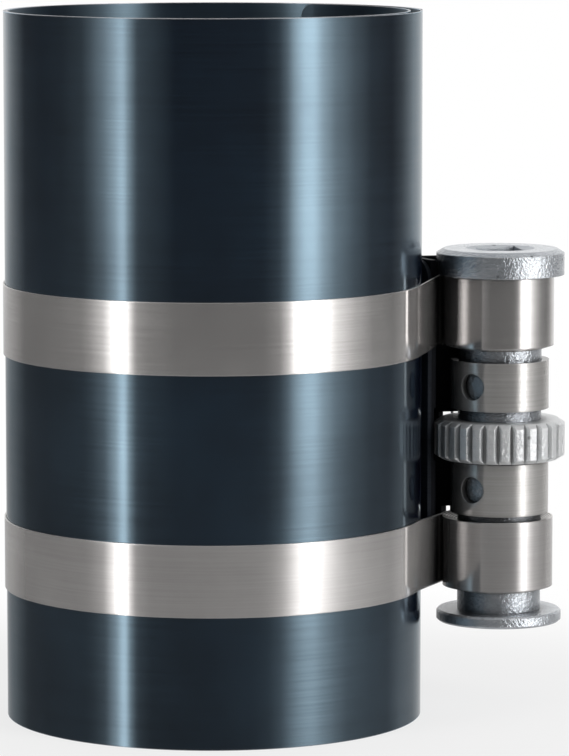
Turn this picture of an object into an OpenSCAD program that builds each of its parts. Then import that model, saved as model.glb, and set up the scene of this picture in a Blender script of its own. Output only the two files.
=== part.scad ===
// Piston ring compressor: a coiled spring steel sleeve drawn tight by two steel bands,
// which a ratchet spindle winds up at its side.
// The origin is the middle of the sleeve's lower rim, and the sleeve's axis is +Z.
// Angles are counted from +X, turning left as seen from above.

/* [Sleeve] */
// Height of the sleeve
sleeve_h = 100; // [85:1:130]
// Outer radius of the outermost wrap
sleeve_r = 29.7; // [26:0.1:45]
// Thickness of the spring steel sheet
sheet_t = 0.3; // [0.2:0.05:0.5]
// Gap between one wrap and the next
wrap_gap = 0.06; // [0.04:0.01:0.15]
// Direction in which the sheet's outer end lies
sheet_end_deg = 8; // [4:1:14]
// Lap of the sheet beyond two whole turns
sheet_lap_deg = 56; // [20:1:120]
// Rounding of the sheet's free corners
sheet_corner_r = 2; // [1:0.5:4]

/* [Bands] */
// Width of each band
band_w = 10; // [8:0.5:12]
// Thickness of each band
band_t = 0.25; // [0.2:0.05:0.4]
// Height of the lower band's lower edge on the sleeve
lower_band_z = 18.4; // [17:0.1:19]
// How far the lower band climbs from the sleeve to its coil
lower_band_rise = -1.45; // [-2:0.05:0]
// How far the upper band climbs from the sleeve to its coil
upper_band_rise = 0.2; // [0:0.05:0.5]
// Laps of each band on the spindle
band_laps = 6; // [3:1:9]
// Gap between laps on the side where the band comes in
lap_gap_near = 0.11; // [0.04:0.01:0.15]
// Gap between laps on the far side
lap_gap_far = 0.03; // [0.02:0.01:0.1]
// Drop of each lap below the one outside it
lap_drop = 0.09; // [0:0.01:0.12]
// Direction in which the bands' fixed ends lie
band_end_deg = 29; // [28:1:34]

/* [Anchor plate] */
// How far the plate's lower edge lies above the lower band's
plate_inset = 0.4; // [0.2:0.1:2]
// How far the plate stands above the upper band
plate_rise = 2.25; // [1:0.05:4]
// Thickness of the plate
plate_t = 0.6; // [0.4:0.05:1]
// Direction of the plate's flat front part
plate_flat_deg = 26; // [22:1:27]
// Length of the plate's flat front part
plate_flat_l = 8.4; // [7.5:0.1:9]
// Direction in which the plate's back edge lies
plate_end_deg = 50; // [44:1:54]
// Rounding of the plate's corners
plate_corner_r = 2.5; // [1:0.5:4]

/* [Bracket] */
// Direction in which the spindle lies
spindle_deg = 11.7; // [10:0.1:13]
// Distance from the sleeve's wall to the spindle's axis
spindle_reach = 12.2; // [11.8:0.1:16]
// Thickness of the bracket's sheet
bracket_t = 1; // [0.8:0.05:1.2]
// Gap between the lower coil and the lower knuckle
lower_gap = 0.65; // [0.3:0.05:2]
// Gap between the upper knuckle and the upper coil
upper_gap = 1.61; // [0.5:0.01:3]
// Height of the lower knuckle
lower_knuckle_h = 7.5; // [6:0.1:8]
// Height of the upper knuckle
upper_knuckle_h = 7; // [6:0.1:8]
// Height of the window for the ratchet wheel
window_h = 7.6; // [6.5:0.1:8]
// Angle that the knuckles are rolled through
roll_deg = 290; // [240:5:300]
// Inner radius of the bend between leg and foot
foot_bend_r = 0.6; // [0.4:0.1:1]
// Flat length of the foot
foot_l = 5.4; // [4.5:0.1:5.6]
// How far leg and foot stand above the plate
leg_rise = 0.2; // [0:0.1:1]
// Gap between the leg and what turns on the spindle
turn_gap = 0.15; // [0.1:0.05:0.5]
// Radius of the round hole in each knuckle
knuckle_hole_r = 1.9; // [1:0.1:2.5]
// Direction in which the knuckle holes look
knuckle_hole_deg = 233; // [200:1:260]

/* [Spindle] */
// Radius of the spindle
spindle_r = 6; // [5.5:0.1:6.5]
// Radial running clearance of the spindle in the knuckles
spindle_clear = 0.08; // [0.03:0.01:0.1]
// Radius of the spindle's head
head_r = 9.2; // [9:0.1:11]
// Height of the spindle's head
head_h = 3.7; // [3:0.1:6]
// Width of the chamfer on the head
head_chamfer_w = 1; // [0.5:0.1:1.5]
// Height of the chamfer on the head
head_chamfer_h = 0.6; // [0.3:0.1:1]
// Radius of the dish in the head
dish_r = 4.8; // [4.6:0.1:6]
// Depth of the dish in the head
dish_depth = 0.9; // [0.5:0.1:1.5]
// Direction in which a side of the square drive socket looks
socket_deg = 17; // [0:1:45]
// Width of the square drive socket
socket_w = 6.4; // [6:0.1:6.6]
// Depth of the square drive socket below the dish
socket_depth = 24; // [10:1:30]
// Radius of the flange at the spindle's lower end
flange_r = 9; // [8.8:0.1:11]
// Thickness of that flange
flange_t = 1.7; // [1:0.1:3]
// Bare length of the spindle between flange and lower coil
tail_h = 3; // [2:0.1:4]

/* [Ratchet] */
// Number of teeth on the ratchet wheel
teeth = 28; // [20:1:32]
// Radius of the ratchet wheel
wheel_r = 9.4; // [9.2:0.1:10]
// Height of the ratchet wheel
wheel_h = 5.7; // [5:0.1:6]
// Depth of the grooves between the teeth
groove_depth = 0.95; // [0.6:0.05:1.1]
// Width of a groove at its mouth
groove_w = 1; // [0.7:0.05:1.2]
// Radial depth of the chamfer on the tooth ends
tooth_chamfer_w = 0.9; // [0.3:0.1:1]
// Height of the chamfer on the tooth ends
tooth_chamfer_h = 0.6; // [0.3:0.1:1]
// Thickness of the pawl
pawl_h = 4.2; // [3:0.1:4.4]
// Radius of the pawl's pin
pawl_pin_r = 1.2; // [1:0.1:1.4]
// Thickness of the pawl's spring wire
spring_wire = 0.5; // [0.4:0.05:0.55]

/* [Rivets] */
// Radius of the foot rivets' heads
foot_rivet_head_r = 1.45; // [1.2:0.05:1.6]
// Height of the foot rivets' heads
foot_rivet_head_h = 1.1; // [0.6:0.05:1.3]
// Radius of the foot rivets' shanks
foot_rivet_r = 0.9; // [0.6:0.05:1.1]
// Height of the lower foot rivet above the lower knuckle's lower edge
lower_foot_rivet_up = 5.5; // [3:0.1:7]
// Distance of the upper foot rivet below the upper knuckle's upper edge
upper_foot_rivet_down = 2.3; // [2:0.1:5]
// Radius of the band rivets' heads
band_rivet_head_r = 1.3; // [1:0.05:1.5]
// Height of the band rivets' heads
band_rivet_head_h = 0.5; // [0.3:0.05:0.8]
// Radius of the band rivets' shanks
band_rivet_r = 0.7; // [0.5:0.05:0.9]
// Direction in which the band rivets lie
band_rivet_deg = 33; // [32:1:38]

/* [Hidden] */
$fn = 96;

// Clearance between parts that lie on each other, and the overrun of every cut
seat = 0.03;
over = 1;

// Heights of bands, bracket and plate, from the lower band upwards
lower_coil_z = lower_band_z + lower_band_rise;
bracket_z = lower_coil_z + band_w + lower_gap;
bracket_h = lower_knuckle_h + window_h + upper_knuckle_h;
window_z = bracket_z + lower_knuckle_h;
upper_knuckle_z = window_z + window_h;
upper_coil_low = bracket_z + bracket_h + upper_gap;
coil_drop = band_laps * lap_drop;
upper_coil_z = upper_coil_low + coil_drop;
upper_band_z = upper_coil_z - upper_band_rise;
plate_z = lower_band_z + plate_inset;
plate_h = upper_band_z + band_w + plate_rise - plate_z;
leg_z = plate_z + leg_rise;
leg_top = upper_coil_low - turn_gap;
lower_foot_rivet_z = bracket_z + lower_foot_rivet_up;
upper_foot_rivet_z = bracket_z + bracket_h - upper_foot_rivet_down;

// Sheet of the sleeve: each half turn inwards shrinks by half the pitch of the wraps
wrap_step = (sheet_t + wrap_gap) / 2;
wrap_dir = [cos(sheet_end_deg), sin(sheet_end_deg), 0];
outer_centre = wrap_step * wrap_dir;
sheet_in_r = sleeve_r - sheet_t;
turn_deg = 360;
half_turn_deg = turn_deg / 2;
quarter_turn_deg = turn_deg / 4;

// Anchor plate
plate_in_r = sleeve_r + seat;
plate_out_r = plate_in_r + plate_t;

// Spindle axis
spindle_d = sleeve_r + spindle_reach;
spindle_xy = polar(spindle_d, spindle_deg);
knuckle_in_r = spindle_r + spindle_clear;
knuckle_out_r = knuckle_in_r + bracket_t;

// Coils on the spindle, by the outer radius of a lap on its two sides
lap_in_gap = 3 * seat;
lap_in_r = spindle_r + lap_in_gap + band_t;
near_step = band_t + lap_gap_near;
far_step = band_t + lap_gap_far;
function near_r(lap) = lap_in_r + (band_laps - lap) * near_step;
function far_r(lap) = lap_in_r + (band_laps - 1 - lap) * far_step;

// The band leaves the sleeve and meets its coil along one straight line
band_in_r = sleeve_r - wrap_step + seat;
band_off_deg = acos((band_in_r + near_r(0)) / spindle_d);
leave_deg = spindle_deg - band_off_deg;

// At its fixed end the band lies on the plate, and it comes down to the sleeve from there
band_lift = plate_t + 5 * seat;
band_start_r = sleeve_r + seat + band_lift / 2;
band_rivet_seat_r = sleeve_r + 2 * seat + band_t
    + band_lift / 2 * (1 + cos(band_rivet_deg - sheet_end_deg));
band_rivet_pitch = band_w / 2;
corner_share = 1.15;
loop_facets = 36;
coil_facets = 14;
tongue_facets = 3;
band_rivet_zs = [for (z = [lower_band_z, upper_band_z]) for (side = [-1, 1])
    z + band_w / 2 + side * band_rivet_pitch / 2];

// Stack along the spindle, and the room that it needs beside the leg
head_gap = 0.1;
head_z = upper_coil_z + band_w + head_gap;
head_top = head_z + head_h;
flange_top = lower_coil_z - coil_drop - tail_h;
wheel_gap = 0.3;
wheel_z = window_z + wheel_gap;
window_r = wheel_r + wheel_gap;
turn_r = max(head_r, near_r(0)) + turn_gap;

// The lower end of the spindle passes through the flange and is riveted over
tenon_r = 4;
tenon_head_r = 5;
tenon_head_h = 0.6;
flange_z = flange_top - flange_t;
flange_chamfer = 0.3;

// The bands' inner ends are bent into slots in the spindle
tongue_bend_r = 0.3;
tongue_l = 0.9;
slot_gap = 3 * seat;
slot_mid = tongue_bend_r + band_t / 2;
slot_w = 2 * (slot_mid + slot_gap);
slot_in_r = spindle_r + lap_in_gap - tongue_bend_r - tongue_l - slot_gap;
slot_spare = 0.45;
slot_h = band_w + 2 * slot_spare;

// Foot of the bracket, flat on the plate's front part
foot_lean_deg = plate_flat_deg - spindle_deg;
foot_face_r = plate_out_r + seat + wrap_step * cos(plate_flat_deg - sheet_end_deg);
foot_bend_v = knuckle_in_r - foot_bend_r;
foot_bend_u = (foot_face_r + foot_bend_r + bracket_t - foot_bend_v * sin(foot_lean_deg))
    / cos(foot_lean_deg);
leg_l = spindle_d - foot_bend_u;
foot_start = foot_bend_u * sin(foot_lean_deg) - foot_bend_v * cos(foot_lean_deg)
    - wrap_step * sin(plate_flat_deg - sheet_end_deg);
foot_rivet_along = foot_start + foot_l / 2;
foot_trim = seat / 2;

// Pawl, placed from the spindle's axis with X away from the sleeve
pawl_at = [-9, 9.5];
pawl_boss_r = 2.2;
pawl_clear = 0.05;
pawl_z = wheel_z + (wheel_h - pawl_h) / 3;
nose_deg = 100.2;
nose_clear = 0.12;
nose_mid = polar(wheel_r + nose_clear, nose_deg);
nose_half = polar(groove_w / 2, nose_deg + quarter_turn_deg);
nose_tip = polar(wheel_r - groove_depth + nose_clear, nose_deg);
nose_top = [-0.6, 11.2];
tab_end = [5.2, 13];
tab_t = 1.2;
pawl_back = [-2.2, 12];
ear_r = 2.1;
pin_head_r = 1.8;
pin_head_h = 0.5;

// Torsion spring round the pawl's pin
spring_turns = 3;
spring_pitch_share = 0.9;
spring_end_share = 0.8;
spring_end_r = spring_end_share * spring_wire / 2;
spring_r = pawl_pin_r + spring_wire / 2 + 3 * pawl_clear;
spring_z = pawl_z + pawl_h + spring_wire / 2 + 2 * pawl_clear;
spring_top = spring_z + (spring_turns - 1) * spring_wire * spring_pitch_share;
spring_rest = [-7.3, knuckle_out_r + spring_wire / 2 + pawl_clear];
spring_hook = [-4, pawl_back[1] + spring_wire / 2 + pawl_clear];
spring_hook_l = 2.4;

function polar(r, deg) = r * [cos(deg), sin(deg)];

// Draws a strip of sheet that starts at the origin, heads for +Y and has its left face
// on the Y axis. Each step is [left turn, inner radius], or [0, length] for a straight.
module strip(steps, t, h, at = 0) {
    if (at < len(steps)) {
        turn = steps[at][0];
        size = steps[at][1];
        if (turn == 0) {
            cube([t, size, h]);
            translate([0, size, 0]) strip(steps, t, h, at + 1);
        } else {
            translate([-size, 0, 0]) {
                bend(turn, size, t, h);
                rotate([0, 0, turn]) translate([size, 0, 0]) strip(steps, t, h, at + 1);
            }
        }
    }
}

module bend(turn, r, t, h) {
    rotate_extrude(angle = turn) translate([r, 0]) square([t, h]);
}

// Sweeps a strip of sheet along stations, each [left face's point, direction of the
// right face, height of the lower edge]
module swept_strip(stations, t, h) {
    corners = [[0, 0], [t, 0], [t, h], [0, h]];
    n = len(corners);
    points = [for (s = stations) for (corner = corners)
        [s[0][0] + corner[0] * s[1][0], s[0][1] + corner[0] * s[1][1], s[2] + corner[1]]];
    sides = [for (i = [1:len(stations) - 1]) for (k = [0:n - 1]) let (next = (k + 1) % n)
        [n * (i - 1) + k, n * i + k, n * i + next, n * (i - 1) + next]];
    first = [for (k = [0:n - 1]) k];
    last = [for (k = first) n * len(stations) - 1 - k];
    polyhedron(points, concat([first], sides, [last]));
}

// Moves to a direction on the outermost wrap, X outwards from its centre
module on_wrap(deg) {
    translate(outer_centre) rotate([0, 0, deg]) children();
}

// Moves to the spindle's axis, X away from the sleeve
module at_spindle() {
    rotate([0, 0, spindle_deg]) translate([spindle_d, 0, 0]) children();
}

// Cuts what lies outside a corner's rounding, on an edge along X with the sheet towards
// -Y and -Z, and reaches out along +X by the length given. The rounding's centre lies a
// little too far in, so that it meets both edges at a slight angle.
module corner_cut(r, out) {
    in = r * corner_share;
    translate([-over, -in, -in]) difference() {
        cube([over + out, in + over, in + over]);
        translate([-over, 0, 0]) rotate([0, quarter_turn_deg, 0])
            cylinder(r = norm([in, in - r]), h = 3 * over + out);
    }
}

// Rivet along +X: a shank that ends where its low domed head begins
module rivet(shank_r, shank_l, dome_r, dome_h) {
    ball_r = (dome_r * dome_r + dome_h * dome_h) / (2 * dome_h);
    rotate([0, quarter_turn_deg, 0]) {
        cylinder(r = shank_r, h = shank_l);
        translate([0, 0, shank_l]) intersection() {
            cylinder(r = dome_r, h = dome_h);
            translate([0, 0, dome_h - ball_r]) sphere(r = ball_r);
        }
    }
}

// Straight end of the spring between two points
module spring_end(from, to) {
    way = to - from;
    translate(from) rotate([0, acos(way[2] / norm(way)), atan2(way[1], way[0])])
        cylinder(r = spring_end_r, h = norm(way));
}

// Holes for the band rivets through band, plate and the outermost wrap
module band_rivet_holes() {
    for (z = band_rivet_zs)
        on_wrap(band_rivet_deg) translate([sheet_in_r - wrap_gap / 2, 0, z])
            rotate([0, quarter_turn_deg, 0])
                cylinder(r = band_rivet_r + seat, h = sheet_t + plate_t + band_t + over);
}

// Holes for the foot rivets through foot and plate
module foot_rivet_holes() {
    for (z = [lower_foot_rivet_z, upper_foot_rivet_z])
        on_wrap(plate_flat_deg) translate([plate_in_r - seat, -foot_rivet_along, z])
            rotate([0, quarter_turn_deg, 0])
                cylinder(r = foot_rivet_r + seat, h = plate_t + bracket_t + over);
}

module sleeve() {
    inner_end_r = sheet_in_r - 4 * wrap_step;
    wraps = [for (half = [0:3]) [half_turn_deg, sheet_in_r - half * wrap_step]];
    lap = [[sheet_lap_deg, inner_end_r]];
    color("#2b3038") difference() {
        on_wrap(sheet_end_deg) translate([sheet_in_r, 0, 0])
            strip(concat(wraps, lap), sheet_t, sleeve_h);
        on_wrap(sheet_end_deg + sheet_lap_deg)
            translate([inner_end_r, 0, sleeve_h / 2]) for (side = [0, 1])
                mirror([0, 0, side]) translate([0, 0, sleeve_h / 2])
                    corner_cut(sheet_corner_r, sheet_t + wrap_gap / 2);
        band_rivet_holes();
    }
}

module anchor_plate() {
    color("#22262c") difference() {
        on_wrap(plate_flat_deg) translate([plate_in_r, -plate_flat_l, plate_z])
            strip([[0, plate_flat_l], [plate_end_deg - plate_flat_deg, plate_in_r]],
                plate_t, plate_h);
        for (side = [0, 1]) translate([0, 0, plate_z + plate_h / 2])
            mirror([0, 0, side]) {
                on_wrap(plate_flat_deg) translate([plate_in_r, -plate_flat_l, plate_h / 2])
                    mirror([0, 1, 0]) corner_cut(plate_corner_r, plate_t + over);
                on_wrap(plate_end_deg) translate([plate_in_r, 0, plate_h / 2])
                    corner_cut(plate_corner_r, plate_t + over);
            }
        band_rivet_holes();
        foot_rivet_holes();
    }
}

// Stations of a band along an arc: its left face's centre and radius, the first and last
// direction, and its height there. The right face lies outwards for side 1, inwards for -1.
function arc_stations(centre, r, from, to, steps, side, z_from, z_to) = [
    for (i = [0:steps]) let (share = i / steps, way = polar(1, from + (to - from) * share))
        [centre + r * way, side * way, z_from + (z_to - z_from) * share]
];

// The half turn of a coil that starts with the given number of half turns behind it
function coil_stations(half, z) =
    let (
        back = half % 2 == 0,
        near = near_r(ceil(half / 2)),
        far = far_r(floor(half / 2)),
        from = leave_deg + (back ? half_turn_deg : 0)
    )
    arc_stations(spindle_xy + (far - near) / 2 * polar(1, leave_deg), (far + near) / 2,
        from, from - half_turn_deg, coil_facets, -1,
        z - half * lap_drop / 2, z - (half + 1) * lap_drop / 2);

// A band from its fixed end round the sleeve, across to the spindle and into its slot
function band_stations(z, rise) =
    let (
        start_at = [outer_centre[0], outer_centre[1]] + band_lift / 2 * polar(1, sheet_end_deg),
        left_deg = half_turn_deg + sheet_end_deg,
        coil_z = z + rise,
        end_z = coil_z - coil_drop,
        tongue_at = spindle_xy - (spindle_r + lap_in_gap - tongue_bend_r) * polar(1, leave_deg),
        tongue = arc_stations(tongue_at, band_t + tongue_bend_r, half_turn_deg + leave_deg,
            quarter_turn_deg + leave_deg, tongue_facets, -1, end_z, end_z),
        tongue_end = tongue[tongue_facets]
    )
    concat(
        arc_stations(start_at, band_start_r, band_end_deg, left_deg, loop_facets, 1, z, z),
        skip_first(arc_stations([0, 0], band_in_r, left_deg, turn_deg + leave_deg,
            loop_facets, 1, z, z)),
        [for (half = [0:2 * band_laps - 1]) each
            half == 0 ? coil_stations(half, coil_z) : skip_first(coil_stations(half, coil_z))],
        skip_first(tongue),
        [[tongue_end[0] + tongue_l * polar(1, leave_deg), tongue_end[1], tongue_end[2]]]
    );

function skip_first(list) = [for (i = [1:len(list) - 1]) list[i]];

module band(z, rise) {
    color("#b9b4ac") difference() {
        swept_strip(band_stations(z, rise), band_t, band_w);
        band_rivet_holes();
    }
}

module band_rivet(number) {
    color("#8d8f94") on_wrap(band_rivet_deg)
        translate([sheet_in_r, 0, band_rivet_zs[number - 1]])
            rivet(band_rivet_r, band_rivet_seat_r - sheet_in_r,
                band_rivet_head_r, band_rivet_head_h);
}

module foot_rivet(z) {
    color("#8d8f94") on_wrap(plate_flat_deg) translate([plate_in_r, -foot_rivet_along, z])
        rivet(foot_rivet_r, plate_t + seat + bracket_t + seat,
            foot_rivet_head_r, foot_rivet_head_h);
}

// One sheet rolled into two knuckles, with a tall leg and foot, and ears for the pawl's pin.
// Above and below the knuckles the leg ends beside what turns on the spindle, and the
// window is taller in front than in the leg.
module housing_bracket() {
    color("#a8a6a2") difference() {
        union() {
            at_spindle() rotate([0, 0, quarter_turn_deg]) {
                translate([0, 0, bracket_z]) mirror([0, 1, 0])
                    bend(roll_deg, knuckle_in_r, bracket_t, bracket_h);
                translate([knuckle_in_r, 0, leg_z])
                    strip([[0, leg_l], [quarter_turn_deg + foot_lean_deg, foot_bend_r]],
                        bracket_t, plate_h);
            }
            on_wrap(plate_flat_deg)
                translate([plate_out_r + seat + foot_trim, -foot_start - foot_l,
                    leg_z + foot_trim])
                    cube([bracket_t - 2 * foot_trim, foot_l + foot_trim,
                        plate_h - 2 * foot_trim]);
            pawl_ear(window_z - bracket_t);
            pawl_ear(upper_knuckle_z);
        }
        at_spindle() {
            translate([0, 0, leg_z - over]) cylinder(r = turn_r, h = bracket_z - leg_z + over);
            translate([0, 0, leg_top]) cylinder(r = turn_r, h = leg_z + plate_h - leg_top + over);
            translate([0, 0, window_z]) {
                cylinder(r = window_r, h = wheel_h + 2 * wheel_gap);
                intersection() {
                    cylinder(r = window_r, h = window_h);
                    translate([-window_r, -window_r, 0])
                        cube([2 * window_r, window_r + foot_bend_v, window_h]);
                }
            }
            for (z = [bracket_z + lower_knuckle_h / 2, upper_knuckle_z + upper_knuckle_h / 2])
                translate([0, 0, z]) rotate([0, quarter_turn_deg, knuckle_hole_deg - spindle_deg])
                    cylinder(r = knuckle_hole_r, h = knuckle_out_r + over);
            translate([pawl_at[0], pawl_at[1], window_z - bracket_t - over])
                cylinder(r = pawl_pin_r + seat, h = window_h + 2 * (bracket_t + over));
        }
        foot_rivet_holes();
    }
}

module pawl_ear(z) {
    leg_mid = knuckle_in_r + bracket_t / 2;
    at_spindle() translate([pawl_at[0], 0, z]) {
        translate([-ear_r, leg_mid, 0]) cube([2 * ear_r, pawl_at[1] - leg_mid, bracket_t]);
        translate([0, pawl_at[1], 0]) cylinder(r = ear_r, h = bracket_t);
    }
}

module spindle() {
    color("#c3c9d2") at_spindle() difference() {
        rotate_extrude() polygon([
            [0, flange_z - tenon_head_h], [tenon_head_r, flange_z - tenon_head_h],
            [tenon_head_r, flange_z], [tenon_r, flange_z],
            [tenon_r, flange_top], [spindle_r, flange_top],
            [spindle_r, head_z], [head_r, head_z],
            [head_r, head_top - head_chamfer_h], [head_r - head_chamfer_w, head_top],
            [0, head_top]
        ]);
        translate([0, 0, head_top - dish_depth])
            cylinder(r1 = 0, r2 = dish_r * (1 + over / dish_depth), h = dish_depth + over);
        rotate([0, 0, socket_deg - spindle_deg])
            translate([-socket_w / 2, -socket_w / 2, head_top - dish_depth - socket_depth])
                cube([socket_w, socket_w, socket_depth + dish_depth + over]);
        band_slot(lower_coil_z - coil_drop);
        band_slot(upper_coil_z - coil_drop);
    }
}

module band_slot(z) {
    rotate([0, 0, half_turn_deg + leave_deg - spindle_deg])
        translate([slot_in_r, -slot_mid - slot_w / 2, z - slot_spare])
            cube([spindle_r - slot_in_r + over, slot_w, slot_h]);
}

module lower_flange() {
    color("#c3c9d2") at_spindle() translate([0, 0, flange_z]) rotate_extrude() polygon([
        [tenon_r + seat, 0], [flange_r - flange_chamfer, 0], [flange_r, flange_chamfer],
        [flange_r, flange_t - flange_chamfer], [flange_r - flange_chamfer, flange_t],
        [tenon_r + seat, flange_t]
    ]);
}

module ratchet_wheel() {
    color("#c3c9d2") at_spindle() translate([0, 0, wheel_z]) difference() {
        rotate_extrude() polygon([
            [spindle_r + seat, 0], [wheel_r - tooth_chamfer_w, 0], [wheel_r, tooth_chamfer_h],
            [wheel_r, wheel_h - tooth_chamfer_h], [wheel_r - tooth_chamfer_w, wheel_h],
            [spindle_r + seat, wheel_h]
        ]);
        for (tooth = [0:teeth - 1]) rotate([0, 0, nose_deg + tooth * turn_deg / teeth])
            translate([wheel_r, 0, -over]) linear_extrude(wheel_h + 2 * over)
                polygon([[-groove_depth, 0], [groove_depth, -groove_w], [groove_depth, groove_w]]);
    }
}

// The pawl points along the wheel's rim, so that it only stops the wheel from turning left
module pawl() {
    color("#9fa3a8") at_spindle() translate([0, 0, pawl_z]) difference() {
        union() {
            translate(pawl_at) cylinder(r = pawl_boss_r, h = pawl_h);
            linear_extrude(pawl_h) polygon([
                pawl_at - [0, pawl_boss_r], nose_mid + nose_half, nose_tip,
                nose_mid - nose_half, nose_top, tab_end, tab_end + [-tab_t / 4, tab_t],
                pawl_back, pawl_at + [0, pawl_boss_r]
            ]);
        }
        translate([pawl_at[0], pawl_at[1], -over])
            cylinder(r = pawl_pin_r + pawl_clear, h = pawl_h + 2 * over);
    }
}

module pawl_pin() {
    pin_z = window_z - bracket_t;
    pin_l = window_h + 2 * bracket_t;
    color("#8d8f94") at_spindle() translate([pawl_at[0], pawl_at[1], pin_z]) {
        cylinder(r = pawl_pin_r, h = pin_l);
        translate([0, 0, -pin_head_h]) cylinder(r = pin_head_r, h = pin_head_h);
        translate([0, 0, pin_l]) cylinder(r = pin_head_r, h = pin_head_h);
    }
}

// Closed turns round the pin, one end against the leg and one behind the pawl
module pawl_spring() {
    hook_top = [spring_hook[0], spring_hook[1], spring_top];
    color("#6f7378") at_spindle() {
        for (turn = [0:spring_turns - 1])
            translate([pawl_at[0], pawl_at[1], spring_z + turn * spring_wire * spring_pitch_share])
                rotate_extrude() translate([spring_r, 0]) circle(r = spring_wire / 2);
        spring_end([pawl_at[0], pawl_at[1] - spring_r, spring_z],
            [spring_rest[0], spring_rest[1], spring_z]);
        spring_end([pawl_at[0], pawl_at[1] + spring_r, spring_top], hook_top);
        translate(hook_top - [0, 0, spring_hook_l])
            cylinder(r = spring_end_r, h = spring_hook_l + spring_end_r);
    }
}

sleeve();
anchor_plate();
band(lower_band_z, lower_band_rise);  // lower_band
band(upper_band_z, upper_band_rise);  // upper_band
housing_bracket();
foot_rivet(lower_foot_rivet_z);  // lower_foot_rivet
foot_rivet(upper_foot_rivet_z);  // upper_foot_rivet
band_rivet(1);  // band_rivet_1
band_rivet(2);  // band_rivet_2
band_rivet(3);  // band_rivet_3
band_rivet(4);  // band_rivet_4
spindle();
lower_flange();
ratchet_wheel();
pawl();
pawl_pin();
pawl_spring();
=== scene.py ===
from math import acos, atan2, ceil, cos, degrees, floor, hypot, pi, radians, sin

import bmesh
import bpy
from mathutils import Matrix, Vector


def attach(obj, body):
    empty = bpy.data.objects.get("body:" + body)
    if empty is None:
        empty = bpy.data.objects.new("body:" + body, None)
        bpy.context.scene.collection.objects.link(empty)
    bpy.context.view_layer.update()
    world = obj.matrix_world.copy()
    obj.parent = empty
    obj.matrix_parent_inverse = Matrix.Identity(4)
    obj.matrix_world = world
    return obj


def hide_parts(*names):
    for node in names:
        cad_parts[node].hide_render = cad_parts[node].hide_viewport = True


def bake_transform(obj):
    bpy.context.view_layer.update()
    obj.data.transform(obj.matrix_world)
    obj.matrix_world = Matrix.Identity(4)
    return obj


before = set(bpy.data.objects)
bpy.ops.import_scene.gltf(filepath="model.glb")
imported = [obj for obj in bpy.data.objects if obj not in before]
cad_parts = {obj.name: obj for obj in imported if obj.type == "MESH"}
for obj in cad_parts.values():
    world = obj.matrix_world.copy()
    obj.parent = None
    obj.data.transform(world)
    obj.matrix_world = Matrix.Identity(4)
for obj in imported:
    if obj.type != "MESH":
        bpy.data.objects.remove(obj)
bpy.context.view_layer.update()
mm = 0.001
print("frame loaded")

camera = {"place": (0.01006, -0.646, 0.1251), "pitch": 83.183, "lens": 218.1}


def makeCamera():
    data = bpy.data.cameras.new("camera")
    data.sensor_width = 36
    data.lens = camera["lens"]
    data.clip_start, data.clip_end = 0.01, 20
    eye = bpy.data.objects.new("camera", data)
    eye.location = camera["place"]
    eye.rotation_euler = (radians(camera["pitch"]), 0, 0)
    bpy.context.scene.collection.objects.link(eye)
    bpy.context.scene.camera = eye


makeCamera()
print("camera placed")


# Node helpers: a node with its settings and sockets, and links between them
def addNode(tree, kind, place=(0, 0), sockets=None, **settings):
    node = tree.nodes.new(kind)
    node.location = place
    for name, value in settings.items():
        setattr(node, name, value)
    for name, value in (sockets or {}).items():
        node.inputs[name].default_value = value
    return node


def addMath(tree, operation, first, second=None, place=(0, 0), third=None, clamp=False):
    node = addNode(tree, "ShaderNodeMath", place, operation=operation, use_clamp=clamp)
    for slot, value in enumerate((first, second, third)):
        if value is None:
            continue
        if isinstance(value, (int, float)):
            node.inputs[slot].default_value = value
        else:
            tree.links.new(value, node.inputs[slot])
    return node.outputs[0]


def addRange(tree, value, fromLow, fromHigh, toLow, toHigh, place=(0, 0), smooth=False):
    node = addNode(tree, "ShaderNodeMapRange", place, {
        "From Min": fromLow, "From Max": fromHigh, "To Min": toLow, "To Max": toHigh,
    }, interpolation_type="SMOOTHSTEP" if smooth else "LINEAR")
    tree.links.new(value, node.inputs["Value"])
    return node.outputs["Result"]


def addMix(tree, share, first, second, place=(0, 0), blend="MIX"):
    node = addNode(tree, "ShaderNodeMix", place, data_type="RGBA", blend_type=blend)
    for slot, value in (("Factor_Float", share), ("A_Color", first), ("B_Color", second)):
        socket = next(s for s in node.inputs if s.identifier == slot)
        if isinstance(value, (int, float, tuple)):
            socket.default_value = value
        else:
            tree.links.new(value, socket)
    return next(s for s in node.outputs if s.identifier == "Result_Color")


def makeRamp(tree, value, stops, place=(0, 0), interpolation="LINEAR"):
    node = addNode(tree, "ShaderNodeValToRGB", place)
    node.color_ramp.interpolation = interpolation
    elements = node.color_ramp.elements
    for spare, (at, colour) in enumerate(stops):
        element = elements[spare] if spare < 2 else elements.new(at)
        element.position = at
        element.color = colour if isinstance(colour, tuple) else (colour, colour, colour, 1)
    tree.links.new(value, node.inputs["Fac"])
    return node.outputs["Color"]


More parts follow.
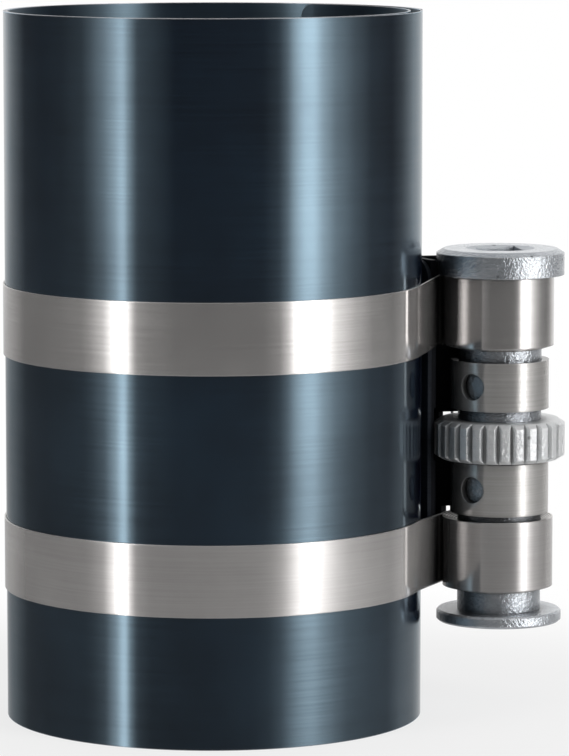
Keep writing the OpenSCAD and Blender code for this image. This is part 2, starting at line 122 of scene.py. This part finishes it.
# The studio: a dark room in front with two tall soft lights, a white wall behind.
# Each stop is a direction in degrees from the camera, counted to the right, and a level.
studio = {
    "upper": [
        (-180, 1.0), (-158, 0.9), (-143, 0.5), (-133, 0.28), (-125, 0.11), (-106, 0.09),
        (-90, 0.14), (-75, 0.3), (-69, 0.72), (-62, 1.6), (-58, 2.4), (-54, 3.3), (-51, 4.1),
        (-48.5, 4.0), (-47, 2.8), (-44, 1.6), (-41, 0.5), (-20, 0.06), (28, 0.09), (37, 0.25),
        (42, 0.95), (46, 2.8), (52, 5.2), (57, 5.5), (63, 3.0), (71, 1.45), (84, 0.62), (97, 0.22),
        (116, 0.12), (127, 0.27), (144, 0.8), (180, 1.0),
    ],
    "lower": [
        (-180, 0.85), (-163, 0.42), (-143, 0.36), (-133, 0.26), (-125, 0.17), (-106, 0.16),
        (-90, 0.18), (-75, 0.18), (-69, 0.22), (-61, 0.42), (-54, 2.1), (-51, 4.6),
        (-48.5, 5.2), (-47, 1.6), (-44.5, 1.0), (-43, 0.33), (-34, 0.165), (0, 0.155), (22, 0.19), (31, 0.27),
        (38, 0.52), (45, 1.2), (52, 1.75), (57, 1.85), (63, 1.4), (71, 0.92), (79, 0.55),
        (97, 0.38), (113, 0.3), (127, 0.5), (144, 0.47), (180, 0.85),
    ],
    "sinkFrom": -0.05, "sinkTo": -0.135, "sinkRight": 0.043,
    "strength": 6.0,
    "overhead": 0.5,
    "underneath": 0.45,
}


def makeStudio():
    world = bpy.data.worlds.new("studio")
    bpy.context.scene.world = world
    world.use_nodes = True
    tree = world.node_tree
    tree.nodes.clear()
    way = addNode(tree, "ShaderNodeTexCoord", (-1200, 0)).outputs["Generated"]
    split = addNode(tree, "ShaderNodeSeparateXYZ", (-1000, 0))
    tree.links.new(way, split.inputs[0])
    front = addMath(tree, "MULTIPLY", split.outputs["Y"], -1, (-820, -80))
    turn = addMath(tree, "ARCTAN2", split.outputs["X"], front, (-640, 0))
    share = addRange(tree, turn, -pi, pi, 0, 1, (-460, 0))
    strength = studio["strength"]
    levels = []
    for row, name in enumerate(("upper", "lower")):
        stops = [((at + 180) / 360, level / strength) for at, level in studio[name]]
        levels.append(makeRamp(tree, share, stops, (-260, 60 + 260 * row)))
    right = addRange(tree, turn, -0.5, 0.5, 0, studio["sinkRight"], (-460, -200))
    rise = addMath(tree, "ADD", split.outputs["Z"], right, (-360, -60))
    sink = addRange(tree, rise, studio["sinkFrom"], studio["sinkTo"], 0, 1,
                    (-260, -60), smooth=True)
    around = addMix(tree, sink, levels[0], levels[1], (-60, 60))
    up = addRange(tree, split.outputs["Z"], 0.5, 0.85, 0, 1, (-260, -220), smooth=True)
    down = addRange(tree, split.outputs["Z"], -0.5, -0.9, 0, 1, (-260, -420), smooth=True)
    level = addMix(tree, up, around, (studio["overhead"] / strength,) * 3 + (1,), (60, 0))
    level = addMix(tree, down, level, (studio["underneath"] / strength,) * 3 + (1,), (240, 0))
    light = addNode(tree, "ShaderNodeBackground", (440, 0), {"Strength": strength})
    tree.links.new(level, light.inputs["Color"])
    white = addNode(tree, "ShaderNodeBackground", (440, -160),
                    {"Color": (1, 1, 1, 1), "Strength": 1})
    seen = addNode(tree, "ShaderNodeLightPath", (240, 260))
    mix = addNode(tree, "ShaderNodeMixShader", (640, 0))
    tree.links.new(seen.outputs["Is Camera Ray"], mix.inputs["Fac"])
    tree.links.new(light.outputs[0], mix.inputs[1])
    tree.links.new(white.outputs[0], mix.inputs[2])
    out = addNode(tree, "ShaderNodeOutputWorld", (840, 0))
    tree.links.new(mix.outputs[0], out.inputs["Surface"])


table = {"radius": 0.9, "fadeFrom": 0.05, "fadeTo": 0.12, "colour": (0.9, 0.9, 0.9, 1), "glow": 0.75}


def makeFloor():
    bm = bmesh.new()
    bmesh.ops.create_circle(bm, cap_ends=True, radius=table["radius"], segments=96)
    data = bpy.data.meshes.new("floor")
    bm.to_mesh(data)
    bm.free()
    ground = bpy.data.objects.new("floor", data)
    bpy.context.scene.collection.objects.link(ground)
    ground.visible_glossy = False  # so that metal mirrors the studio down to its lower rim
    material = bpy.data.materials.new("paleFloor")
    material.use_nodes = True
    tree = material.node_tree
    tree.nodes.clear()
    place = addNode(tree, "ShaderNodeTexCoord", (-800, 0)).outputs["Object"]
    length = addNode(tree, "ShaderNodeVectorMath", (-600, 0), operation="LENGTH")
    tree.links.new(place, length.inputs[0])
    fade = addRange(tree, length.outputs["Value"], table["fadeFrom"], table["fadeTo"], table["glow"], 1,
                    (-400, 0), smooth=True)
    seen = addNode(tree, "ShaderNodeLightPath", (-400, 240))
    share = addMath(tree, "MULTIPLY", fade, seen.outputs["Is Camera Ray"], (-200, 100))
    matt = addNode(tree, "ShaderNodeBsdfDiffuse", (-200, -60), {"Color": table["colour"]})
    white = addNode(tree, "ShaderNodeEmission", (-200, -220))
    mix = addNode(tree, "ShaderNodeMixShader", (40, 0))
    tree.links.new(share, mix.inputs["Fac"])
    tree.links.new(matt.outputs[0], mix.inputs[1])
    tree.links.new(white.outputs[0], mix.inputs[2])
    out = addNode(tree, "ShaderNodeOutputMaterial", (240, 0))
    tree.links.new(mix.outputs[0], out.inputs["Surface"])
    data.materials.append(material)


makeStudio()
makeFloor()
bpy.context.scene.view_settings.view_transform = "Standard"
print("studio ready")


# Shared effects, each a node group that puts out masks, values or normals
def newGroup(name, inputs, outputs):
    tree = bpy.data.node_groups.new(name, "ShaderNodeTree")
    for label, kind, value in inputs:
        socket = tree.interface.new_socket(label, in_out="INPUT", socket_type=kind)
        if value is not None:
            socket.default_value = value
    for label, kind in outputs:
        tree.interface.new_socket(label, in_out="OUTPUT", socket_type=kind)
    return tree, addNode(tree, "NodeGroupInput", (-900, 0)), addNode(tree, "NodeGroupOutput", (900, 0))


def makeGrainGroup():
    # Fine lines that run level round a standing surface, and a slow cloudiness
    tree, given, put = newGroup("levelGrain", [
        ("Along", "NodeSocketFloat", 60.0), ("Across", "NodeSocketFloat", 9000.0),
        ("Cloud", "NodeSocketFloat", 60.0),
    ], [("Lines", "NodeSocketFloat"), ("Cloud", "NodeSocketFloat")])
    place = addNode(tree, "ShaderNodeTexCoord", (-900, -260)).outputs["Object"]
    split = addNode(tree, "ShaderNodeSeparateXYZ", (-700, -260))
    tree.links.new(place, split.inputs[0])
    x = addMath(tree, "MULTIPLY", split.outputs["X"], given.outputs["Along"], (-500, 100))
    y = addMath(tree, "MULTIPLY", split.outputs["Y"], given.outputs["Along"], (-500, -60))
    z = addMath(tree, "MULTIPLY", split.outputs["Z"], given.outputs["Across"], (-500, -220))
    join = addNode(tree, "ShaderNodeCombineXYZ", (-300, 0))
    for source, name in ((x, "X"), (y, "Y"), (z, "Z")):
        tree.links.new(source, join.inputs[name])
    lines = addNode(tree, "ShaderNodeTexNoise", (-100, 0),
                    {"Scale": 1.0, "Detail": 3.0, "Roughness": 0.6})
    tree.links.new(join.outputs[0], lines.inputs["Vector"])
    cloud = addNode(tree, "ShaderNodeTexNoise", (-100, -260), {"Detail": 4.0, "Roughness": 0.55})
    tree.links.new(place, cloud.inputs["Vector"])
    tree.links.new(given.outputs["Cloud"], cloud.inputs["Scale"])
    tree.links.new(lines.outputs["Fac"], put.inputs["Lines"])
    tree.links.new(cloud.outputs["Fac"], put.inputs["Cloud"])
    return tree


def makeEdgeGroup():
    # How near a point is to an outer edge, and the normal of the slightly rounded edge
    tree, given, put = newGroup("edgeWear", [("Width", "NodeSocketFloat", 0.0002)],
                                [("Edge", "NodeSocketFloat"), ("Normal", "NodeSocketVector")])
    round_ = addNode(tree, "ShaderNodeBevel", (-600, 0), samples=4)
    tree.links.new(given.outputs["Width"], round_.inputs["Radius"])
    plain = addNode(tree, "ShaderNodeNewGeometry", (-600, -200))
    dot = addNode(tree, "ShaderNodeVectorMath", (-400, 0), operation="DOT_PRODUCT")
    tree.links.new(round_.outputs[0], dot.inputs[0])
    tree.links.new(plain.outputs["Normal"], dot.inputs[1])
    edge = addRange(tree, dot.outputs["Value"], 0.995, 0.85, 0, 1, (-200, 0))
    tree.links.new(edge, put.inputs["Edge"])
    tree.links.new(round_.outputs[0], put.inputs["Normal"])
    return tree


def makePitGroup():
    # Small dull spots and the slight unevenness of a plated surface
    tree, given, put = newGroup("platedSkin", [
        ("Bump Scale", "NodeSocketFloat", 900.0), ("Spot Scale", "NodeSocketFloat", 350.0),
    ], [("Skin", "NodeSocketFloat"), ("Spots", "NodeSocketFloat")])
    place = addNode(tree, "ShaderNodeTexCoord", (-900, -260)).outputs["Object"]
    skin = addNode(tree, "ShaderNodeTexNoise", (-500, 0), {"Detail": 3.0, "Roughness": 0.6})
    spot = addNode(tree, "ShaderNodeTexVoronoi", (-500, -260))
    for texture, name in ((skin, "Bump Scale"), (spot, "Spot Scale")):
        tree.links.new(place, texture.inputs["Vector"])
        tree.links.new(given.outputs[name], texture.inputs["Scale"])
    spots = addRange(tree, spot.outputs["Distance"], 0.16, 0.06, 0, 1, (-260, -260))
    pick = addNode(tree, "ShaderNodeSeparateColor", (-260, -420))
    tree.links.new(spot.outputs["Color"], pick.inputs[0])
    few = addMath(tree, "GREATER_THAN", pick.outputs["Red"], 0.82, (-60, -420))
    tree.links.new(skin.outputs["Fac"], put.inputs["Skin"])
    tree.links.new(addMath(tree, "MULTIPLY", spots, few, (140, -300)), put.inputs["Spots"])
    return tree


def makeCreviceGroup():
    # How deep a point lies between other surfaces; the materials draw their colour toward near black there, a
    # painted shade for the light that does not reach in
    tree, given, put = newGroup("creviceShade", [
        ("Reach", "NodeSocketFloat", 0.01), ("Open", "NodeSocketFloat", 0.62),
        ("Deep", "NodeSocketFloat", 0.34),
    ], [("Depth", "NodeSocketFloat")])
    open_ = addNode(tree, "ShaderNodeAmbientOcclusion", (-300, 0), samples=6)
    tree.links.new(given.outputs["Reach"], open_.inputs["Distance"])
    depth = addNode(tree, "ShaderNodeMapRange", (0, 0), {"To Min": 0.0, "To Max": 1.0})
    tree.links.new(open_.outputs["AO"], depth.inputs["Value"])
    tree.links.new(given.outputs["Open"], depth.inputs["From Min"])
    tree.links.new(given.outputs["Deep"], depth.inputs["From Max"])
    tree.links.new(depth.outputs["Result"], put.inputs["Depth"])
    return tree


levelGrain, edgeWear, platedSkin = makeGrainGroup(), makeEdgeGroup(), makePitGroup()
creviceShade = makeCreviceGroup()


def useGroup(tree, group, place, **sockets):
    node = addNode(tree, "ShaderNodeGroup", place, node_tree=group)
    for name, value in sockets.items():
        node.inputs[name].default_value = value
    return node


def newMetal(name, metallic=1.0, spread=0.0):
    # spread draws the gloss out upright, as fine level scratches do
    material = bpy.data.materials.new(name)
    material.use_nodes = True
    tree = material.node_tree
    shader = next(n for n in tree.nodes if n.type == "BSDF_PRINCIPLED")
    shader.location = (900, 0)
    shader.inputs["Metallic"].default_value = metallic
    shader.inputs["Anisotropic"].default_value = spread
    if spread:
        upright = addNode(tree, "ShaderNodeCombineXYZ", (640, -600), {"Z": 1.0})
        tree.links.new(upright.outputs[0], shader.inputs["Tangent"])
    return material, tree, shader


def addBumps(tree, shader, heights, normal=None):
    # heights: (value, strength, distance), each on top of the one before
    for step, (value, strength, distance) in enumerate(heights):
        bump = addNode(tree, "ShaderNodeBump", (500 + 160 * step, -420),
                       {"Strength": strength, "Distance": distance})
        tree.links.new(value, bump.inputs["Height"])
        if normal is not None:
            tree.links.new(normal, bump.inputs["Normal"])
        normal = bump.outputs["Normal"]
    tree.links.new(normal, shader.inputs["Normal"])


spindleAxis = Vector((41.0294, 8.4967, 0)) * mm

# The oxide on the sheet: a deep blue below a gloss of its own tint
blued = {
    "deepDark": (0.0035, 0.003, 0.008, 1), "deepLight": (0.0025, 0.0075, 0.018, 1),
    "tint": (0.60, 0.84, 1.0, 1), "clouds": 0.3,
    "ior": 2.3, "rough": (0.11, 0.15), "along": 40.0, "across": 4200.0, "cloud": 45.0,
    "bump": 0.06, "spread": 0.75, "rim": 0.0002, "bare": (0.80, 0.78, 0.80, 1),
}
bluedBack = {**blued, "rough": (0.32, 0.36), "spread": 1.0, "ior": 2.6}


def makeBluedSheet(name, look):
    material, tree, shader = newMetal(name, 0.0, look["spread"])
    shader.inputs["IOR"].default_value = look["ior"]
    shader.inputs["Specular Tint"].default_value = look["tint"]
    grain = useGroup(tree, levelGrain, (-500, 0), Along=look["along"], Across=look["across"],
                     Cloud=look["cloud"])
    share = addMath(tree, "MULTIPLY_ADD", grain.outputs["Lines"], 0.3, (-240, 60),
                    addMath(tree, "MULTIPLY", grain.outputs["Cloud"], 0.7, (-400, -160)))
    deep = makeRamp(tree, share, [(0.35, look["deepDark"]), (0.65, look["deepLight"])], (0, 320))
    border = useGroup(tree, edgeWear, (-500, -400), Width=look["rim"])
    bare = addMix(tree, border.outputs["Edge"], deep, look["bare"], (300, 320))
    tree.links.new(bare, shader.inputs["Base Color"])
    # the share that is metal over this nearly black colour has no gloss, which clouds the sheet
    clouds = addRange(tree, share, 0.35, 0.65, look["clouds"], 0, (0, 100))
    metal = addMath(tree, "MAXIMUM", clouds, border.outputs["Edge"], (300, 100))
    tree.links.new(metal, shader.inputs["Metallic"])
    rough = addRange(tree, grain.outputs["Lines"], 0.3, 0.7, *look["rough"], (0, -160))
    tree.links.new(rough, shader.inputs["Roughness"])
    addBumps(tree, shader, [(grain.outputs["Lines"], look["bump"], 0.00002)],
             border.outputs["Normal"])
    return material


def makeCutEdge():
    material, tree, shader = newMetal("cutEdge")
    skin = useGroup(tree, platedSkin, (-400, 0), **{"Bump Scale": 2500.0, "Spot Scale": 900.0})
    colour = makeRamp(tree, skin.outputs["Skin"],
                      [(0.3, (0.42, 0.43, 0.45, 1)), (0.7, (0.68, 0.69, 0.71, 1))], (0, 100))
    tree.links.new(colour, shader.inputs["Base Color"])
    shader.inputs["Roughness"].default_value = 0.42
    addBumps(tree, shader, [(skin.outputs["Skin"], 0.3, 0.00003)])
    return material


def addReach(tree):
    # how far a point stands from the spindle's axis
    place = addNode(tree, "ShaderNodeTexCoord", (-1500, 600)).outputs["Object"]
    gap = addNode(tree, "ShaderNodeVectorMath", (-1300, 600), operation="SUBTRACT")
    tree.links.new(place, gap.inputs[0])
    gap.inputs[1].default_value = spindleAxis
    level = addNode(tree, "ShaderNodeVectorMath", (-1100, 600), operation="MULTIPLY")
    tree.links.new(gap.outputs[0], level.inputs[0])
    level.inputs[1].default_value = (1, 1, 0)
    away = addNode(tree, "ShaderNodeVectorMath", (-900, 600), operation="LENGTH")
    tree.links.new(level.outputs[0], away.inputs[0])
    return away.outputs["Value"]


def makePlated(name, dark, light, rough, along=60.0, across=4200.0, grainBump=0.08,
               skinBump=0.0, wear=0.15, edge=0.00025, metallic=1.0, spread=0.0, beyondShade=None,
               shadeInCrevices=0.0, spots=1.0, skinSize=1400.0, bore=None, ior=1.5, stripShadeReach=None):
    # the near-black colour given for what stands further from the spindle's axis than its knuckles is painted
    # shade, for the deep shade the bracket's leg and foot lie in;
    # bore: the roughness of what lies inside the spindle's head
    material, tree, shader = newMetal(name, metallic, spread)
    shader.inputs["IOR"].default_value = ior
    grain = useGroup(tree, levelGrain, (-700, 200), Along=along, Across=across, Cloud=90.0)
    skin = useGroup(tree, platedSkin, (-700, -100), **{"Bump Scale": skinSize, "Spot Scale": 420.0})
    marks = addMath(tree, "MULTIPLY", skin.outputs["Spots"], spots, (-500, -160))
    reach = addReach(tree) if beyondShade or bore or stripShadeReach else None
    border = useGroup(tree, edgeWear, (-700, -400), Width=edge)
    share = addMath(tree, "MULTIPLY_ADD", grain.outputs["Lines"], 0.5, (-440, 200),
                    addMath(tree, "MULTIPLY", grain.outputs["Cloud"], 0.5, (-560, 60)))
    colour = makeRamp(tree, share, [(0.32, dark), (0.68, light)], (-240, 200))
    # painted shade: the colour is drawn toward near black where a point lies deep between surfaces
    if shadeInCrevices:
        shadeDepth = useGroup(tree, creviceShade, (-440, 420))
        level = addMath(tree, "MULTIPLY", shadeDepth.outputs["Depth"], shadeInCrevices, (-240, 420))
        if bore:
            level = addMath(tree, "MULTIPLY", level,
                            addRange(tree, reach, 4.9 * mm, 5.2 * mm, 0, 1, (-240, 560)))
        # painted shade: on the band's strip, further than the coil from the spindle's axis, a wider reach
        # darkens the colour toward near black between sleeve and coil
        if stripShadeReach:
            deep = useGroup(tree, creviceShade, (-440, 760), Reach=stripShadeReach, Open=0.72, Deep=0.4)
            beyond = addRange(tree, reach, 8.3 * mm, 9.2 * mm, 0, 1, (-440, 900))
            level = addMath(tree, "MAXIMUM", level,
                            addMath(tree, "MULTIPLY", deep.outputs["Depth"], beyond, (-240, 760)))
        # the near-black colour of the painted shade in crevices
        colour = addMix(tree, level, colour, (0.01, 0.01, 0.012, 1), (-60, 420))
    spotted = addMix(tree, marks, colour, tuple(0.45 * c for c in dark[:3]) + (1,),
                     (40, 200))
    # painted shade: beyond the knuckles the bracket's leg and foot are drawn near black, without worn edges
    if beyondShade:
        shadedBeyond = addRange(tree, reach, 7.15 * mm, 7.3 * mm, 0, 1, (-100, 600))
        spotted = addMix(tree, shadedBeyond, spotted, beyondShade, (140, 300))
    worn = addMath(tree, "MULTIPLY", border.outputs["Edge"], wear, (-240, -300))
    if beyondShade:
        bright = addMath(tree, "SUBTRACT", 1.0, shadedBeyond, (40, -300))
        worn = addMath(tree, "MULTIPLY", worn, bright, (140, -300))
    shown = addMix(tree, worn, spotted, (0.9, 0.9, 0.9, 1), (240, 200))
    tree.links.new(shown, shader.inputs["Base Color"])
    dull = addRange(tree, grain.outputs["Cloud"], 0.3, 0.7, *rough, (-240, -60))
    if bore:
        dull = addMath(tree, "ADD", dull, addRange(tree, reach, 4.9 * mm, 5.0 * mm, bore, 0,
                                                   (-400, -560)))
    if beyondShade:
        dull = addMath(tree, "MULTIPLY_ADD", shadedBeyond, 0.45, (-100, -160), dull)
    rough_ = addMath(tree, "MULTIPLY_ADD", marks, 0.25, (0, -60), dull)
    tree.links.new(rough_, shader.inputs["Roughness"])
    heights = [(grain.outputs["Lines"], grainBump, 0.00002)]
    if skinBump:
        heights.append((skin.outputs["Skin"], min(1, skinBump), 0.00006 * max(1, skinBump)))
    addBumps(tree, shader, heights, border.outputs["Normal"])
    return material


bluedSheet = makeBluedSheet("bluedSheet", blued)
bluedInside = makeBluedSheet("bluedInside", bluedBack)
cutEdge = makeCutEdge()
# painted shade: both band steels darken in crevices and, on their strips, near the coil
bandSteel = makePlated("bandSteel", (0.56, 0.54, 0.53, 1), (0.70, 0.68, 0.665, 1), (0.09, 0.13),
                       grainBump=0.03, metallic=0.82, spread=0.6, shadeInCrevices=0.4, spots=0.0,
                       stripShadeReach=0.03)
# painted light: a more diffuse copy of the band steel, so that the lower band shows lighter than the upper
# one
lowerSteelLit = makePlated("lowerBandSteelLit", (0.56, 0.54, 0.53, 1), (0.70, 0.68, 0.665, 1),
                        (0.1, 0.14), grainBump=0.03, metallic=0.7, spread=0.6, shadeInCrevices=0.4,
                        spots=0.0, stripShadeReach=0.03)
bandEdge = makePlated("bandEdge", (0.7, 0.68, 0.66, 1), (0.85, 0.83, 0.8, 1), (0.3, 0.4))
# painted shade: the bracket beyond its knuckles is drawn near black, and in crevices it darkens
nickel = makePlated("satinNickel", (0.50, 0.485, 0.47, 1), (0.68, 0.665, 0.645, 1), (0.12, 0.2),
                    skinBump=0.3, metallic=0.56, beyondShade=(0.012, 0.013, 0.016, 1), shadeInCrevices=0.8,
                    ior=1.2)
zinc = makePlated("brightZinc", (0.56, 0.595, 0.635, 1), (0.76, 0.79, 0.83, 1), (0.13, 0.22),
                  along=400.0, across=900.0, skinBump=3.2, skinSize=2000.0, wear=0.5,
                  metallic=0.84, shadeInCrevices=0.8, bore=0.3)
wheelZinc = makePlated("wheelZinc", (0.82, 0.84, 0.85, 1), (0.96, 0.965, 0.97, 1), (0.26, 0.36),
                       along=400.0, across=900.0, skinBump=3.6, skinSize=1600.0, wear=0.95,
                       metallic=0.5, shadeInCrevices=0.6)
plateSteel = makePlated("bluedPlate", (0.012, 0.014, 0.019, 1), (0.03, 0.035, 0.044, 1),
                        (0.5, 0.65), wear=0.0, metallic=0.0, ior=1.15)
rivetSteel = makePlated("rivetSteel", (0.36, 0.36, 0.37, 1), (0.56, 0.56, 0.57, 1), (0.25, 0.4),
                        skinBump=0.2)
pawlSteel = makePlated("pawlSteel", (0.42, 0.43, 0.45, 1), (0.60, 0.61, 0.64, 1), (0.25, 0.38),
                       skinBump=0.2)
springSteel = makePlated("springSteel", (0.24, 0.245, 0.255, 1), (0.36, 0.37, 0.385, 1),
                         (0.25, 0.38), edge=0.00008)
print("materials ready")

finishes = {
    "anchor_plate": plateSteel, "housing_bracket": nickel, "spindle": zinc,
    "lower_flange": zinc, "ratchet_wheel": wheelZinc, "pawl": pawlSteel, "pawl_pin": rivetSteel,
    "lower_foot_rivet": rivetSteel, "upper_foot_rivet": rivetSteel,
    "band_rivet_1": rivetSteel, "band_rivet_2": rivetSteel, "band_rivet_3": rivetSteel,
    "band_rivet_4": rivetSteel,
}
for node, material in finishes.items():
    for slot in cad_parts[node].material_slots:
        slot.material = material


# A sheet stood on edge: its foot follows a path of points and its height rises from there
def standSheet(bm, path, height):
    start = bmesh.ops.create_vert(bm, co=path[0])["vert"][0]
    top = bmesh.ops.create_vert(bm, co=path[0] + Vector((0, 0, height)))["vert"][0]
    edge = bm.edges.new((start, top))
    ends = [(start, top)]
    for before, after in zip(path, path[1:]):
        grown = bmesh.ops.extrude_edge_only(bm, edges=[edge])["geom"]
        verts = [g for g in grown if isinstance(g, bmesh.types.BMVert)]
        edge = next(g for g in grown if isinstance(g, bmesh.types.BMEdge))
        bmesh.ops.translate(bm, vec=after - before, verts=verts)
        ends.append(tuple(verts))
    return ends


def finishPiece(bm, name, materials, sharp=32):
    for face in bm.faces:
        face.smooth = True
    for edge in bm.edges:
        edge.smooth = len(edge.link_faces) == 2 and edge.calc_face_angle(pi) < radians(sharp)
    data = bpy.data.meshes.new(name)
    bm.to_mesh(data)
    bm.free()
    for material in materials:
        data.materials.append(material)
    piece = bpy.data.objects.new(name, data)
    bpy.context.scene.collection.objects.link(piece)
    return piece


def thicken(bm, thickness):
    bmesh.ops.solidify(bm, geom=bm.faces[:], thickness=-thickness)
    if bm.calc_volume(signed=True) < 0:
        bmesh.ops.reverse_faces(bm, faces=bm.faces)
    bm.normal_update()


def markEdges(bm, level=0.6):
    # the narrow faces that look up or down are cut edges
    for face in bm.faces:
        if abs(face.normal.z) > level:
            face.material_index = 1


sleeve = {
    "height": 100 * mm, "thickness": 0.3 * mm, "innerRadius": 29.4 * mm, "step": 0.18 * mm,
    "startAngle": 8, "lap": 56, "corner": 2.0 * mm, "facets": 84,
    "peel": 1.35 * mm, "peelFrom": 560, "peelTop": 720, "returnFrom": 744, "return": 0.8 * mm,
    "lastStep": 4.3,
}


def sleevePath():
    way = Vector((cos(radians(sleeve["startAngle"])), sin(radians(sleeve["startAngle"])), 0))
    points = []
    halves = [180, 180, 180, 180, sleeve["lap"]]
    for half, turn in enumerate(halves):
        centre = way * (sleeve["step"] if half % 2 == 0 else 0)
        radius = sleeve["innerRadius"] - half * sleeve["step"]
        last = half == len(halves) - 1
        even = turn - (sleeve["lastStep"] if last else 0)
        steps = round(sleeve["facets"] * even / 180)
        turns = [even * step / steps for step in range(0 if half == 0 else 1, steps + 1)]
        for turned in turns + ([turn] if last else []):
            at = radians(sleeve["startAngle"] + 180 * half + turned)
            place = centre + radius * Vector((cos(at), sin(at), 0))
            points.append((180 * half + turned, place))
    shaped = []
    for walked, place in points:
        share = min(1, max(0, (walked - sleeve["peelFrom"]) /
                           (sleeve["peelTop"] - sleeve["peelFrom"])))
        back = max(0, walked - sleeve["returnFrom"]) / (720 + sleeve["lap"] - sleeve["returnFrom"])
        inwards = sleeve["peel"] * share * share * (3 - 2 * share) - sleeve["return"] * back * back
        shaped.append(place * (1 - inwards / place.length))
    return shaped


def makeSleeve():
    bm = bmesh.new()
    path = sleevePath()
    ends = standSheet(bm, path, sleeve["height"])
    bmesh.ops.bevel(bm, geom=list(ends[-1]), offset=sleeve["corner"], segments=8, profile=0.5,
                    affect="VERTICES", material=-1)
    bmesh.ops.recalc_face_normals(bm, faces=bm.faces)
    out = sum(1 if f.normal.dot(Vector((*f.calc_center_median().xy, 0))) > 0 else -1
              for f in bm.faces)
    if out < 0:
        bmesh.ops.reverse_faces(bm, faces=bm.faces)
    thicken(bm, sleeve["thickness"])
    for face in bm.faces:
        middle = face.calc_center_median()
        if face.normal.dot(Vector((middle.x, middle.y, 0)).normalized()) < -0.5:
            face.material_index = 2
    markEdges(bm)
    piece = finishPiece(bm, "sleeve_sheet", [bluedSheet, cutEdge, bluedInside])
    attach(piece, "sleeve_body")
    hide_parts("sleeve")


makeSleeve()
print("sleeve made")

bands = {
    "lower_band": {"low": 18.4 * mm, "rise": -1.45 * mm, "steel": lowerSteelLit},
    "upper_band": {"low": 51.65 * mm, "rise": 0.2 * mm, "steel": bandSteel},
}
band = {
    "width": 10 * mm, "thickness": 0.25 * mm, "laps": 6, "startAngle": 29, "leaveAngle": -13.05,
    "innerRadius": 29.545 * mm, "lift": 0.75 * mm, "seat": 0.03 * mm, "lapDrop": 0.09 * mm,
    "nearStep": 0.36 * mm, "farStep": 0.28 * mm, "lapRadius": 6.34 * mm,
    "loopFacets": 84, "coilFacets": 40, "tongue": 0.9 * mm, "tongueBend": 0.3 * mm,
}


def around(centre, radius, first, last, steps, low, high, skip=True):
    points = []
    for step in range(1 if skip else 0, steps + 1):
        share = step / steps
        at = radians(first + (last - first) * share)
        points.append(centre + radius * Vector((cos(at), sin(at), 0)) +
                      Vector((0, 0, low + (high - low) * share)))
    return points


def bandPath(low, rise):
    leave, end = band["leaveAngle"], sleeve["startAngle"]
    away = Vector((cos(radians(leave)), sin(radians(leave)), 0))
    outward = Vector((cos(radians(end)), sin(radians(end)), 0))
    lifted = outward * (sleeve["step"] + band["lift"] / 2)
    startRadius = 29.727 * mm + band["lift"] / 2
    path = around(lifted, startRadius, band["startAngle"], 180 + end, band["loopFacets"],
                  low, low, skip=False)
    path += around(Vector(), band["innerRadius"], 180 + end, 360 + leave, band["loopFacets"],
                   low, low)
    top = low + rise
    for half in range(2 * band["laps"]):
        near = band["lapRadius"] + (band["laps"] - ceil(half / 2)) * band["nearStep"]
        far = band["lapRadius"] + (band["laps"] - 1 - floor(half / 2)) * band["farStep"]
        first = leave + (180 if half % 2 == 0 else 0)
        path += around(spindleAxis + away * (far - near) / 2, (far + near) / 2,
                       first, first - 180, band["coilFacets"],
                       top - half * band["lapDrop"] / 2, top - (half + 1) * band["lapDrop"] / 2,
                       skip=half > 0)
    low = top - band["laps"] * band["lapDrop"]
    hinge = spindleAxis - away * (6.09 * mm - band["tongueBend"])
    path += around(hinge, band["thickness"] + band["tongueBend"], 180 + leave, 90 + leave, 5,
                   low, low)
    return path + [path[-1] + away * band["tongue"]]


def makeBand(node, low, rise, steel):
    bm = bmesh.new()
    path = bandPath(low, rise)
    standSheet(bm, path, band["width"])
    bmesh.ops.recalc_face_normals(bm, faces=bm.faces)
    first = min(bm.faces, key=lambda f: (f.calc_center_median() - path[0]).length)
    centre = first.calc_center_median()
    if first.normal.dot(Vector((centre.x, centre.y, 0))) < 0:
        bmesh.ops.reverse_faces(bm, faces=bm.faces)
    thicken(bm, band["thickness"])
    markEdges(bm)
    piece = finishPiece(bm, node + "_strip", [steel, bandEdge])
    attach(piece, "sleeve_body")
    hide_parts(node)


for node, place in bands.items():
    makeBand(node, **place)
print("bands made")


def makeSpring():
    # The spring's wire as one smooth piece, from the part's own mesh
    bm = bmesh.new()
    bm.from_mesh(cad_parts["pawl_spring"].data)
    bmesh.ops.remove_doubles(bm, verts=bm.verts, dist=0.0001 * mm)
    piece = finishPiece(bm, "pawl_spring_wire", [springSteel])
    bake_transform(piece)
    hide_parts("pawl_spring")


makeSpring()
print("spring made")
